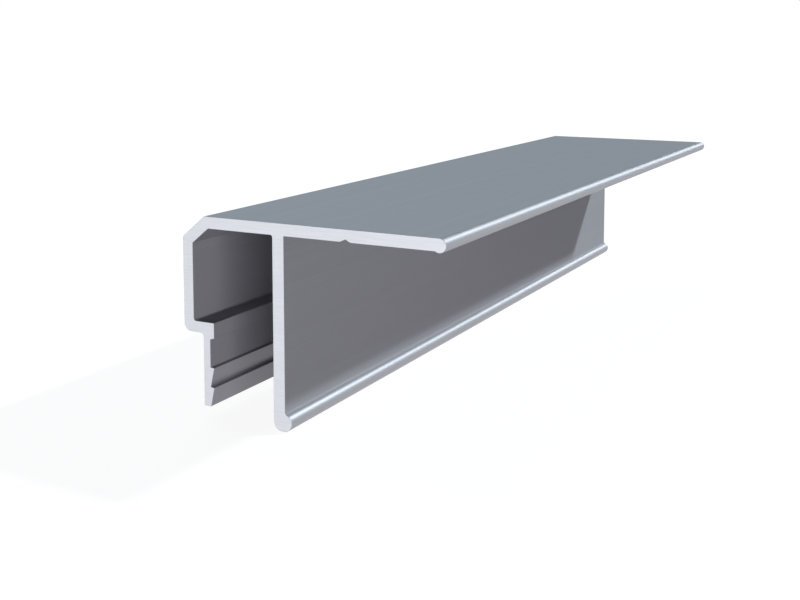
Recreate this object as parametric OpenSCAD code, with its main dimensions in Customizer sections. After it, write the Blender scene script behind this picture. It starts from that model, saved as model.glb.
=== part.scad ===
// Stretch ceiling profile: one straight piece of extruded aluminium, sizes in mm.
// The section lies in X (across) and Z (up), and the piece runs along Y.
// A flat flange is screwed under the ceiling. A web hangs from it, and beside the web a pocket
// with a barbed leg takes the hooked edge of the stretched sheet.

/* [Stock] */
// Length of the piece
length = 116; // [20:1:3000]
// Height of the section, from the bottom of the web to the top of the flange
section_height = 23.35; // [18:0.05:40]

/* [Flange] */
// Thickness of the flange
flange_t = 1.4; // [1:0.05:3]
// How far the flange reaches past the web
overhang = 19.6; // [14:0.1:40]
// Diameter of the round bead along the edge of the flange
flange_bead_d = 1.55; // [1.45:0.05:4]
// Width of the drill guide groove under the flange
groove_w = 1.3; // [0.6:0.1:2.5]
// Depth of the drill guide groove
groove_depth = 0.3; // [0.1:0.05:0.6]
// Distance of the middle of the groove from the web
groove_from_web = 7.8; // [3:0.1:15]

/* [Web] */
// Thickness of the web
web_t = 1.5; // [1:0.05:3]
// Diameter of the round bead along the bottom of the web
web_bead_d = 2; // [1.6:0.05:4]
// How far that bead stands out past the face of the web
web_bead_reach = 0.85; // [0.2:0.05:2]
// Radius in the corner between the web and the pocket ceiling
root_r = 0.25; // [0.1:0.05:0.8]

/* [Pocket] */
// Clear width of the pocket, from the wall to the web
pocket_w = 10.95; // [8:0.05:20]
// Clear height of the pocket, from the ledge to the ceiling
pocket_h = 10.85; // [7:0.05:14]
// Thickness of the pocket wall
wall_t = 1.4; // [1:0.05:2.5]
// Width of the slope between the wall and the flange
slope_w = 3.1; // [1.8:0.05:6]
// Height of that slope
slope_h = 2.55; // [1.5:0.05:6]
// Thickness of the slope
slope_t = 1.4; // [0.8:0.05:2.2]
// Radius of the outer corner at the foot of the wall
wall_corner_r = 0.9; // [0.2:0.05:1.3]
// Radius in the corner between the wall and the ledge
pocket_corner_r = 0.3; // [0.1:0.05:1]

/* [Barbed leg] */
// Thickness of the ledge under the pocket
ledge_t = 1.3; // [1:0.05:2.5]
// Distance of the outer face of the leg from the outer face of the wall
leg_offset = 2.75; // [2:0.05:6]
// Thickness of the leg
leg_t = 0.95; // [0.7:0.05:2]
// How far the bottom of the leg stays above the bottom of the web
leg_clearance = 1.3; // [0.5:0.05:3]
// Radius in the corner between the ledge and the outer face of the leg
leg_root_r = 0.5; // [0.1:0.05:0.8]
// How far the lip at the top of the leg stands out
lip_reach = 0.55; // [0.2:0.05:1.5]
// Height of the lip below the top of the ledge
lip_h = 1.8; // [1.4:0.05:2.5]
// Height of the slant under the lip
lip_slant = 0.15; // [0.05:0.05:0.5]
// Number of barbs
barb_count = 2; // [1:1:3]
// Height of one barb
barb_pitch = 2.3; // [1.5:0.05:2.6]
// How far a barb stands out
barb_reach = 0.5; // [0.2:0.05:1.2]
// Fall of the top of a barb from its root to its tip
barb_fall = 0.05; // [0:0.05:0.5]

/* [Hidden] */
$fn = 96;
// overlap of neighbouring pieces of the section
lap = 0.05;
// left face and right face of the web
web_l = wall_t + pocket_w;
web_r = web_l + web_t;
// overall width
width = web_r + overhang;
// pocket ceiling and underside of the flange
ceiling_z = section_height - flange_t;
// top and bottom of the ledge
ledge_top = ceiling_z - pocket_h;
ledge_z = ledge_top - ledge_t;
// inner face of the leg and of its lip
leg_r = leg_offset + leg_t;
lip_r = leg_r + lip_reach;
// foot of the slope on the outer face
slope_z = section_height - slope_h;
// the slope seen square on: its length, and its thickness across and up
slope_l = sqrt(slope_w * slope_w + slope_h * slope_h);
slope_tx = slope_t * slope_h / slope_l;
slope_tz = slope_t * slope_w / slope_l;
// where the inner face of the slope meets the wall and the ceiling
slope_in_z = slope_z - slope_tz + (wall_t - slope_tx) * slope_h / slope_w;
slope_in_x = slope_tx + (ceiling_z - slope_z + slope_tz) * slope_w / slope_h;
// middle of the drill guide groove
groove_x = web_r + groove_from_web;
web_bead_r = web_bead_d / 2;
flange_bead_r = flange_bead_d / 2;
// middles of the two rounds of the web bead
bead_x0 = web_l + web_bead_r;
bead_x1 = web_r + web_bead_reach - web_bead_r;

// A square corner piece with a round cut out of it, for a corner at the origin that opens
// towards the signs sx and sy. It goes a little way past the corner.
module corner_piece(r, sx, sy) {
    difference() {
        translate([sx > 0 ? -lap : -r, sy > 0 ? -lap : -r]) square(r + lap);
        translate([sx * r, sy * r]) circle(r);
    }
}

module flange() {
    translate([slope_w, ceiling_z]) square([width - flange_bead_r - slope_w, flange_t]);
    translate([width - flange_bead_r, section_height - flange_bead_r]) circle(flange_bead_r);
}

module slope() {
    polygon([
        [0, slope_in_z],
        [wall_t, slope_in_z],
        [slope_in_x, ceiling_z],
        [slope_in_x, section_height],
        [slope_w, section_height],
        [0, slope_z]
    ]);
}

module wall() {
    translate([0, ledge_z]) square([wall_t, slope_in_z - ledge_z]);
    translate([0, ledge_z]) square([lip_r, ledge_t]);
    translate([wall_t, ledge_top]) corner_piece(pocket_corner_r, 1, 1);
}

module barb(z) {
    polygon([
        [leg_offset + leg_t / 2, z - barb_pitch],
        [leg_r, z - barb_pitch],
        [leg_r + barb_reach, z - barb_fall],
        [leg_r, z],
        [leg_offset + leg_t / 2, z]
    ]);
}

module leg() {
    translate([leg_offset, leg_clearance]) square([leg_t, ledge_top - lap - leg_clearance]);
    translate([leg_offset, ledge_z]) corner_piece(leg_root_r, -1, -1);
    polygon([
        [leg_offset + leg_t / 2, ledge_top - lip_h - lip_slant],
        [leg_r, ledge_top - lip_h - lip_slant],
        [lip_r, ledge_top - lip_h],
        [lip_r, ledge_top],
        [leg_offset + leg_t / 2, ledge_top]
    ]);
    for (i = [1 : barb_count]) barb(leg_clearance + i * barb_pitch);
}

module web() {
    translate([web_l, web_bead_r]) square([web_t, section_height - lap - web_bead_r]);
    translate([bead_x0, web_bead_r]) circle(web_bead_r);
    translate([bead_x1, web_bead_r]) circle(web_bead_r);
    translate([bead_x0, 0]) square([bead_x1 - bead_x0, web_bead_d]);
    translate([web_l, ceiling_z]) corner_piece(root_r, -1, -1);
}

module section() {
    difference() {
        union() {
            flange();
            slope();
            wall();
            leg();
            web();
        }
        translate([0, ledge_z]) corner_piece(wall_corner_r, 1, 1);
        polygon([
            [groove_x - groove_w / 2, ceiling_z],
            [groove_x - groove_w / 2, ceiling_z - lap],
            [groove_x + groove_w / 2, ceiling_z - lap],
            [groove_x + groove_w / 2, ceiling_z],
            [groove_x, ceiling_z + groove_depth]
        ]);
    }
}

module ceiling_profile() {
    color([0.72, 0.74, 0.77])
        translate([-width / 2, 0, 0])
            rotate([90, 0, 0])
                linear_extrude(height = length, center = true)
                    section();
}

ceiling_profile();
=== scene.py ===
import math

import bpy
import bmesh
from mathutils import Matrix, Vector


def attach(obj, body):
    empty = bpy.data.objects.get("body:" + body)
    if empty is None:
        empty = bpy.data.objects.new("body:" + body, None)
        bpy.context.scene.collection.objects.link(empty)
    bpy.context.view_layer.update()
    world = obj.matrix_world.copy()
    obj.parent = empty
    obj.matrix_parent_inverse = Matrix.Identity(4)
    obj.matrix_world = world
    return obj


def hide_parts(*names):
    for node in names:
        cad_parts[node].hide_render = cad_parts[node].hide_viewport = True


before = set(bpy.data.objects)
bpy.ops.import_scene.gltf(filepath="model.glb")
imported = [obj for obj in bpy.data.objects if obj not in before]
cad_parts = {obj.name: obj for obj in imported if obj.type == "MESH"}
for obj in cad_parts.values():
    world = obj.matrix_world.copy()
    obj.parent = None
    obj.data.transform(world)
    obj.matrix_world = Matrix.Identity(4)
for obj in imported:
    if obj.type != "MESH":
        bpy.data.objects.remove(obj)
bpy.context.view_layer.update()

MM = 0.001

# Sizes of the section, in mm, the same as those of the solid
LENGTH = 116
HEIGHT = 23.35
FLANGE_T = 1.4
OVERHANG = 19.6
FLANGE_BEAD_R = 0.775
GROOVE_W = 1.3
GROOVE_DEPTH = 0.3
GROOVE_FROM_WEB = 7.8
WEB_T = 1.5
WEB_BEAD_R = 1.0
WEB_BEAD_REACH = 0.85
ROOT_R = 0.25
POCKET_W = 10.95
POCKET_H = 10.85
WALL_T = 1.4
SLOPE_W = 3.1
SLOPE_H = 2.55
SLOPE_T = 1.4
WALL_CORNER_R = 0.9
POCKET_CORNER_R = 0.3
LEDGE_T = 1.3
LEG_OFFSET = 2.75
LEG_T = 0.95
LEG_CLEARANCE = 1.3
LEG_ROOT_R = 0.5
LIP_REACH = 0.55
LIP_H = 1.8
LIP_SLANT = 0.15
BARB_PITCH = 2.3
BARB_REACH = 0.5
BARB_FALL = 0.05

# The die leaves no perfectly sharp edge, and the saw's burr is broken by a tiny bevel, in mm
EDGE_R = 0.08
TIP_R = 0.06
SLOPE_EDGE_R = 0.25
BEAD_ROOT_R = 0.3
CUT_BEVEL = 0.035

# How far the beads and the tapers of the barbs are burnished, from 0 (satin) to 1, and over how many
# points a bead's shine fades in
WEB_BEAD_POLISH = 1.0
FLANGE_BEAD_POLISH = 0.85
BARB_POLISH = 0.5
FADE_POINTS = 5
POLISH_ATTRIBUTE = "polish"

# Steps of the arcs in degrees, the distance in mm under which two points are one, the least cosine that
# the inset divides by, the angle in degrees from which an edge is shaded sharp, and the weight of
# large faces in the normals
BEAD_STEP = 5
CORNER_STEP = 9
SAME_POINT = 1e-4
LEAST_COSINE = 0.5
SHARP_ANGLE = 24
FLAT_WEIGHT = 100

# The part of a noise's range that is spread over a pair of values
NOISE_LOW = 0.3
NOISE_HIGH = 0.7

# Drawn faces: noise scales per metre along X, Y and Z, colours, and pairs of values that the noise goes
# between, or for the bumps' strength, the values on satin and on burnished metal
LINE_SCALE = (5200, 6, 5200)
BROAD_SCALE = (700, 2.5, 700)
CLOUD_SCALE = (90, 45, 90)
SATIN_COLOURS = [
    (0.25, (0.35, 0.35, 0.375)),
    (0.55, (0.365, 0.365, 0.39)),
    (0.8, (0.38, 0.38, 0.405)),
]
SATIN_METALLIC = (0.03, 0.11)
SATIN_ROUGH = (0.38, 0.44)
CLOUDED_ROUGH = (0.44, 0.5)
BURNISHED_METALLIC = 0.9
BURNISHED_ROUGH = 0.52
LINE_BUMP = (0.1, 0.02)
LINE_BUMP_M = 0.00002
BROAD_BUMP = (0.04, 0.01)
BROAD_BUMP_M = 0.00004

# Sawn ends: slant of the marks in degrees, noise scales per metre, colours and finish
SAW_SLANT = 35
MARK_SCALE = (260, 1, 6500)
BAND_SCALE = (30, 1, 620)
SAWN_COLOURS = [
    (0.25, (0.69, 0.71, 0.75)),
    (0.55, (0.74, 0.76, 0.80)),
    (0.8, (0.78, 0.80, 0.84)),
]
SAWN_METALLIC = 0.1
SAWN_SPECULAR = 0.2
SAWN_ROUGH = (0.48, 0.6)
SAWN_BUMP = 0.15
SAWN_BUMP_M = 0.00003

# Floor: radius in metres, sides, grey of its paper, and the white that only the camera and mirrors see
FLOOR_RADIUS = 6.0
FLOOR_SIDES = 96
FLOOR_GREY = (0.14, 0.14, 0.14, 1)
FLOOR_GLOW = (0.92, 0.92, 0.92, 1)

# The studio's colour by the height of the direction: white at the horizon and dim above it
DIM = (0.03, 0.035, 0.04)
STUDIO_COLOURS = [
    (0.075, (1, 1, 1)),
    (0.11, DIM),
    (1.0, DIM),
]

# The two low strip lamps: what they aim at, their width and height in metres, and their colour
STRIP_AIM = (0, -0.05, 0.012)
STRIP_SIZE = (0.2, 0.01)
STRIP_COLOUR = (1.0, 0.97, 1.04)

# Camera of the photo: sizes in mm, place in metres, and its tilt down and turn in degrees
SENSOR = 36
LENS = 49.553
SHIFT_UP = -0.2
NEAREST = 0.01
CAMERA_PLACE = (0.06361, -0.15677, 0.04348)
TILT_DOWN = 5.306
TURN_LEFT = 27.825


def arc(cx, cz, r, a0, a1, step=BEAD_STEP):
    """Points on a circle from angle a0 to a1, in degrees."""
    n = max(2, math.ceil(abs(a1 - a0) / step))
    return [
        (cx + r * math.cos(math.radians(a0 + (a1 - a0) * i / n)),
         cz + r * math.sin(math.radians(a0 + (a1 - a0) * i / n)))
        for i in range(n + 1)
    ]


def rounded(before, corner, after, r):
    """The corner of an outline, rounded to radius r."""
    p = Vector(corner)
    a = (Vector(before) - p).normalized()
    b = (Vector(after) - p).normalized()
    half = a.angle(b) / 2
    reach = r / math.tan(half)
    start = p + a * reach
    end = p + b * reach
    mid = p + (a + b).normalized() * (r / math.sin(half))
    a0 = math.degrees(math.atan2(start.y - mid.y, start.x - mid.x))
    a1 = math.degrees(math.atan2(end.y - mid.y, end.x - mid.x))
    turn = (a1 - a0 + 180) % 360 - 180
    return arc(mid.x, mid.y, r, a0, a0 + turn, CORNER_STEP)


def bead(points, level):
    """The points of a bead, each with its polish, which fades out towards both ends."""
    last = len(points) - 1
    return [(p, level * min(1, min(k, last - k) / FADE_POINTS)) for k, p in enumerate(points)]


def outline():
    """The section's outline in mm, anticlockwise as the near end shows it, and its polish."""
    web_l = WALL_T + POCKET_W
    web_r = web_l + WEB_T
    width = web_r + OVERHANG
    ceiling = HEIGHT - FLANGE_T
    ledge_top = ceiling - POCKET_H
    ledge_z = ledge_top - LEDGE_T
    leg_r = LEG_OFFSET + LEG_T
    lip_r = leg_r + LIP_REACH
    slope_z = HEIGHT - SLOPE_H
    slope_l = math.hypot(SLOPE_W, SLOPE_H)
    slope_tx = SLOPE_T * SLOPE_H / slope_l
    slope_tz = SLOPE_T * SLOPE_W / slope_l
    slope_in_z = slope_z - slope_tz + (WALL_T - slope_tx) * SLOPE_H / SLOPE_W
    slope_in_x = slope_tx + (ceiling - slope_z + slope_tz) * SLOPE_W / SLOPE_H
    groove = web_r + GROOVE_FROM_WEB
    bead_0 = web_l + WEB_BEAD_R
    bead_1 = web_r + WEB_BEAD_REACH - WEB_BEAD_R
    edge_x = width - FLANGE_BEAD_R
    edge_z = HEIGHT - FLANGE_BEAD_R
    barb_1 = LEG_CLEARANCE + BARB_PITCH
    barb_2 = barb_1 + BARB_PITCH

    # The bead of the web runs into the web's face by a small hollow round
    root_x = web_r + BEAD_ROOT_R
    root_z = WEB_BEAD_R + math.sqrt((WEB_BEAD_R + BEAD_ROOT_R) ** 2 - (root_x - bead_1) ** 2)
    top_of_bead = math.degrees(math.atan2(root_z - WEB_BEAD_R, root_x - bead_1))
    web_bead = arc(bead_1, WEB_BEAD_R, WEB_BEAD_R, -90, top_of_bead)
    bead_root = arc(root_x, root_z, BEAD_ROOT_R, 180 + top_of_bead, 180)
    under_edge = 180 + math.degrees(math.asin((edge_z - ceiling) / FLANGE_BEAD_R))
    flange_bead = arc(edge_x, edge_z, FLANGE_BEAD_R, under_edge, 360 + 90)
    # Each entry is the points of a bead, or a corner with its radius and, where it isn't plain,
    # the polish of the faces before and after it
    path = [
        bead(arc(bead_0, WEB_BEAD_R, WEB_BEAD_R, 180, 270), WEB_BEAD_POLISH),
        bead(web_bead, WEB_BEAD_POLISH),
        bead(bead_root, 0),
        ((web_r, ceiling), EDGE_R),
        ((groove - GROOVE_W / 2, ceiling), EDGE_R),
        ((groove, ceiling + GROOVE_DEPTH), EDGE_R),
        ((groove + GROOVE_W / 2, ceiling), EDGE_R),
        bead(flange_bead, FLANGE_BEAD_POLISH),
        ((SLOPE_W, HEIGHT), SLOPE_EDGE_R),
        ((0, slope_z), SLOPE_EDGE_R),
        ((0, ledge_z), WALL_CORNER_R),
        ((LEG_OFFSET, ledge_z), LEG_ROOT_R),
        ((LEG_OFFSET, LEG_CLEARANCE), EDGE_R),
        ((leg_r, LEG_CLEARANCE), EDGE_R, 0, BARB_POLISH),
        ((leg_r + BARB_REACH, barb_1 - BARB_FALL), TIP_R, BARB_POLISH, 0),
        ((leg_r, barb_1), TIP_R, 0, BARB_POLISH),
        ((leg_r + BARB_REACH, barb_2 - BARB_FALL), TIP_R, BARB_POLISH, 0),
        ((leg_r, barb_2), TIP_R),
        ((leg_r, ledge_top - LIP_H - LIP_SLANT), TIP_R),
        ((lip_r, ledge_top - LIP_H), EDGE_R),
        ((lip_r, ledge_top), EDGE_R),
        ((WALL_T, ledge_top), POCKET_CORNER_R),
        ((WALL_T, slope_in_z), EDGE_R),
        ((slope_in_x, ceiling), EDGE_R),
        ((web_l, ceiling), ROOT_R),
    ]
    points = []
    polish = []
    for i, item in enumerate(path):
        if isinstance(item, list):
            new = item
        else:
            last = path[i - 1]
            before = last[-1][0] if isinstance(last, list) else last[0]
            following = path[(i + 1) % len(path)]
            after = following[0][0] if isinstance(following, list) else following[0]
            first, then = item[2:] or (0, 0)
            turn = rounded(before, item[0], after, item[1])
            new = [(p, first + (then - first) * k / (len(turn) - 1)) for k, p in enumerate(turn)]
        for point, value in new:
            if not points or math.dist(point, points[-1]) > SAME_POINT:
                points.append(point)
                polish.append(value)
    return [(x - width / 2, z) for x, z in points], polish


def inset(points, d):
    """The outline moved inwards by d along its corners' normals."""
    out = []
    n = len(points)
    for i, p in enumerate(points):
        p = Vector(p)
        a = (p - Vector(points[i - 1])).normalized()
        b = (Vector(points[(i + 1) % n]) - p).normalized()
        na = Vector((-a.y, a.x))
        nb = Vector((-b.y, b.x))
        m = (na + nb).normalized()
        out.append(tuple(p + m * (d / max(LEAST_COSINE, m.dot(na)))))
    return out


def add_object(name, data):
    """A new object in the scene."""
    obj = bpy.data.objects.new(name, data)
    bpy.context.scene.collection.objects.link(obj)
    return obj


def build_profile():
    """One closed mesh: the drawn faces, a small bevel round each cut, and the two sawn ends."""
    full, polish = outline()
    small = inset(full, CUT_BEVEL)
    half = LENGTH / 2
    rings = [(small, -half), (full, -half + CUT_BEVEL), (full, half - CUT_BEVEL), (small, half)]
    bm = bmesh.new()
    made = []
    for points, y in rings:
        made.append([bm.verts.new((x * MM, y * MM, z * MM)) for x, z in points])
    n = len(full)
    for lower, upper in zip(made, made[1:]):
        for i in range(n):
            j = (i + 1) % n
            face = bm.faces.new((lower[i], lower[j], upper[j], upper[i]))
            face.smooth = True
    near = bm.faces.new(made[0][::-1])
    far = bm.faces.new(made[-1])
    for cap in (near, far):
        cap.material_index = 1
    bmesh.ops.recalc_face_normals(bm, faces=bm.faces[:])
    bmesh.ops.triangulate(bm, faces=[near, far], quad_method="BEAUTY", ngon_method="BEAUTY")
    mesh = bpy.data.meshes.new("profile_body")
    bm.to_mesh(mesh)
    bm.free()
    mesh.set_sharp_from_angle(angle=math.radians(SHARP_ANGLE))
    shine = mesh.attributes.new(POLISH_ATTRIBUTE, "FLOAT", "POINT")
    shine.data.foreach_set("value", polish * len(rings))
    piece = add_object("profile_body", mesh)
    flat = piece.modifiers.new("flat_faces", "WEIGHTED_NORMAL")
    flat.mode = "FACE_AREA"
    flat.weight = FLAT_WEIGHT
    flat.keep_sharp = True
    return piece


def empty_tree(owner):
    """The emptied node tree of a material or world."""
    owner.use_nodes = True
    owner.node_tree.nodes.clear()
    return owner.node_tree


def feed(tree, value, socket):
    """Sets a socket to a number, or links an output to it."""
    if isinstance(value, (int, float)):
        socket.default_value = value
    else:
        tree.links.new(value, socket)


def new_material(name):
    """A material with one Principled shader."""
    material = bpy.data.materials.new(name)
    tree = empty_tree(material)
    out = tree.nodes.new("ShaderNodeOutputMaterial")
    shader = tree.nodes.new("ShaderNodeBsdfPrincipled")
    tree.links.new(shader.outputs[0], out.inputs["Surface"])
    return material, tree, shader


def stretched_noise(tree, scale, detail, turn=(0, 0, 0), rough=0.6):
    """Noise on object coordinates, with its own scale along each axis."""
    coords = tree.nodes.new("ShaderNodeTexCoord")
    mapping = tree.nodes.new("ShaderNodeMapping")
    mapping.inputs["Scale"].default_value = scale
    mapping.inputs["Rotation"].default_value = turn
    noise = tree.nodes.new("ShaderNodeTexNoise")
    noise.inputs["Scale"].default_value = 1.0
    noise.inputs["Detail"].default_value = detail
    noise.inputs["Roughness"].default_value = rough
    tree.links.new(coords.outputs["Object"], mapping.inputs["Vector"])
    tree.links.new(mapping.outputs["Vector"], noise.inputs["Vector"])
    return noise.outputs["Fac"]


def ramp(tree, fac, stops):
    """A colour ramp with the given (place, colour) stops."""
    node = tree.nodes.new("ShaderNodeValToRGB")
    node.color_ramp.elements[0].position = stops[0][0]
    node.color_ramp.elements[0].color = (*stops[0][1], 1)
    node.color_ramp.elements[1].position = stops[-1][0]
    node.color_ramp.elements[1].color = (*stops[-1][1], 1)
    for place, colour in stops[1:-1]:
        node.color_ramp.elements.new(place).color = (*colour, 1)
    tree.links.new(fac, node.inputs["Fac"])
    return node.outputs["Color"]


def spread(tree, noise, ends):
    """A value that goes between the two ends with the noise."""
    node = tree.nodes.new("ShaderNodeMapRange")
    node.inputs["From Min"].default_value = NOISE_LOW
    node.inputs["From Max"].default_value = NOISE_HIGH
    node.inputs["To Min"].default_value = ends[0]
    node.inputs["To Max"].default_value = ends[1]
    tree.links.new(noise, node.inputs["Value"])
    return node.outputs["Result"]


def mix(tree, fac, low, high):
    """A value that goes from low to high as fac goes from 0 to 1."""
    node = tree.nodes.new("ShaderNodeMapRange")
    tree.links.new(fac, node.inputs["Value"])
    feed(tree, low, node.inputs["To Min"])
    feed(tree, high, node.inputs["To Max"])
    return node.outputs["Result"]


def bump(tree, height, strength, distance, below=None):
    """A normal with relief, on top of the relief below it if there is one."""
    node = tree.nodes.new("ShaderNodeBump")
    feed(tree, strength, node.inputs["Strength"])
    node.inputs["Distance"].default_value = distance
    tree.links.new(height, node.inputs["Height"])
    if below is not None:
        tree.links.new(below, node.inputs["Normal"])
    return node.outputs["Normal"]


def drawn_metal():
    """Satin mill finish: fine die lines along the length, a faint cloudiness, and beads and barb tapers
    that are burnished brighter than the flat faces."""
    material, tree, shader = new_material("drawn_metal")
    lines = stretched_noise(tree, LINE_SCALE, 5.0, rough=0.65)
    broad = stretched_noise(tree, BROAD_SCALE, 3.0)
    clouds = stretched_noise(tree, CLOUD_SCALE, 3.0)
    burnish = tree.nodes.new("ShaderNodeAttribute")
    burnish.attribute_name = POLISH_ATTRIBUTE
    polish = burnish.outputs["Fac"]
    metallic = mix(tree, polish, spread(tree, lines, SATIN_METALLIC), BURNISHED_METALLIC)
    satin_rough = mix(tree, clouds, spread(tree, broad, SATIN_ROUGH), spread(tree, broad, CLOUDED_ROUGH))
    rough = mix(tree, polish, satin_rough, BURNISHED_ROUGH)
    fine = bump(tree, lines, mix(tree, polish, *LINE_BUMP), LINE_BUMP_M)
    relief = bump(tree, broad, mix(tree, polish, *BROAD_BUMP), BROAD_BUMP_M, fine)
    tree.links.new(ramp(tree, lines, SATIN_COLOURS), shader.inputs["Base Color"])
    tree.links.new(metallic, shader.inputs["Metallic"])
    shader.inputs["Specular IOR Level"].default_value = 0.0
    tree.links.new(rough, shader.inputs["Roughness"])
    tree.links.new(relief, shader.inputs["Normal"])
    return material


def sawn_metal():
    """Bright cut end with the slanted marks of a fine saw."""
    material, tree, shader = new_material("sawn_metal")
    turn = (0, math.radians(SAW_SLANT), 0)
    marks = stretched_noise(tree, MARK_SCALE, 4.0, turn, rough=0.55)
    bands = stretched_noise(tree, BAND_SCALE, 2.0, turn)
    tree.links.new(ramp(tree, marks, SAWN_COLOURS), shader.inputs["Base Color"])
    shader.inputs["Metallic"].default_value = SAWN_METALLIC
    shader.inputs["Specular IOR Level"].default_value = SAWN_SPECULAR
    tree.links.new(spread(tree, bands, SAWN_ROUGH), shader.inputs["Roughness"])
    tree.links.new(bump(tree, marks, SAWN_BUMP, SAWN_BUMP_M), shader.inputs["Normal"])
    return material


def add_up(tree, one, other):
    """The sum of two values, at most 1."""
    node = tree.nodes.new("ShaderNodeMath")
    node.operation = "ADD"
    node.use_clamp = True
    tree.links.new(one, node.inputs[0])
    tree.links.new(other, node.inputs[1])
    return node.outputs[0]


def floor_paper():
    """Grey paper that takes shadows, with a white added for camera, glossy and transmission rays only."""
    material = bpy.data.materials.new("floor_paper")
    tree = empty_tree(material)
    out = tree.nodes.new("ShaderNodeOutputMaterial")
    paper = tree.nodes.new("ShaderNodeBsdfDiffuse")
    paper.inputs["Color"].default_value = FLOOR_GREY
    glow = tree.nodes.new("ShaderNodeEmission")
    glow.inputs["Color"].default_value = FLOOR_GLOW
    rays = tree.nodes.new("ShaderNodeLightPath").outputs
    seen = add_up(tree, rays["Is Camera Ray"], rays["Is Glossy Ray"])
    seen = add_up(tree, seen, rays["Is Transmission Ray"])
    both = tree.nodes.new("ShaderNodeAddShader")
    tree.links.new(seen, glow.inputs["Strength"])
    tree.links.new(paper.outputs[0], both.inputs[0])
    tree.links.new(glow.outputs[0], both.inputs[1])
    tree.links.new(both.outputs[0], out.inputs["Surface"])
    return material


def make_floor():
    """A wide round floor at the height of the part's foot."""
    bm = bmesh.new()
    bmesh.ops.create_circle(bm, cap_ends=True, segments=FLOOR_SIDES, radius=FLOOR_RADIUS)
    mesh = bpy.data.meshes.new("floor")
    bm.to_mesh(mesh)
    bm.free()
    mesh.materials.append(floor_paper())
    floor = add_object("floor", mesh)


def make_world():
    """A dim studio with a white horizon."""
    world = bpy.data.worlds.new("studio")
    bpy.context.scene.world = world
    tree = empty_tree(world)
    out = tree.nodes.new("ShaderNodeOutputWorld")
    back = tree.nodes.new("ShaderNodeBackground")
    coords = tree.nodes.new("ShaderNodeTexCoord")
    split = tree.nodes.new("ShaderNodeSeparateXYZ")
    tree.links.new(coords.outputs["Generated"], split.inputs[0])
    tree.links.new(ramp(tree, split.outputs["Z"], STUDIO_COLOURS), back.inputs["Color"])
    tree.links.new(back.outputs[0], out.inputs["Surface"])


def add_light(name, kind, shine, strength, colour):
    """A light that shines along the given direction."""
    data = bpy.data.lights.new(name, kind)
    data.energy = strength
    data.color = colour
    obj = add_object(name, data)
    obj.rotation_euler = shine.to_track_quat("-Z", "Y").to_euler()
    return obj


def strip(name, place, watts):
    """A low strip lamp."""
    obj = add_light(name, "AREA", Vector(STRIP_AIM) - Vector(place), watts, STRIP_COLOUR)
    obj.location = place
    obj.data.shape = "RECTANGLE"
    obj.data.size, obj.data.size_y = STRIP_SIZE


def sun(name, towards, angle, strength, colour=(1, 1, 1)):
    """A distant light that stands in the given direction and is so many degrees wide."""
    obj = add_light(name, "SUN", -Vector(towards), strength, colour)
    obj.data.angle = math.radians(angle)


def make_camera():
    """The camera that took the photo."""
    data = bpy.data.cameras.new("camera")
    data.sensor_width = SENSOR
    data.lens = LENS
    data.shift_y = SHIFT_UP
    data.clip_start = NEAREST
    camera = add_object("camera", data)
    camera.location = CAMERA_PLACE
    camera.rotation_euler = (math.radians(90 - TILT_DOWN), 0, math.radians(TURN_LEFT))
    bpy.context.scene.camera = camera


piece = build_profile()
piece.data.materials.append(drawn_metal())
piece.data.materials.append(sawn_metal())
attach(piece, "root")
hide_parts("ceiling_profile")

make_floor()
make_world()
sun("key", towards=(-0.3, -0.954, 0.02), angle=2.2, strength=1.394)
sun("fill", towards=(-0.55, 0.45, 0.70), angle=40, strength=1.0, colour=(0.8, 1.0, 1.11))
sun("back", towards=(0.577, 0.577, 0.577), angle=3, strength=2.6, colour=(0.9, 1.0, 1.04))
sun("rim", towards=(0.12, 0.94, 0.32), angle=22, strength=0.5, colour=(0.92, 1.0, 1.03))
strip("side", place=(0.28, -0.27, 0.006), watts=0.45)
strip("front", place=(0.22, -0.50, 0.006), watts=0.36)
make_camera()
bpy.context.scene.view_settings.view_transform = "Standard"
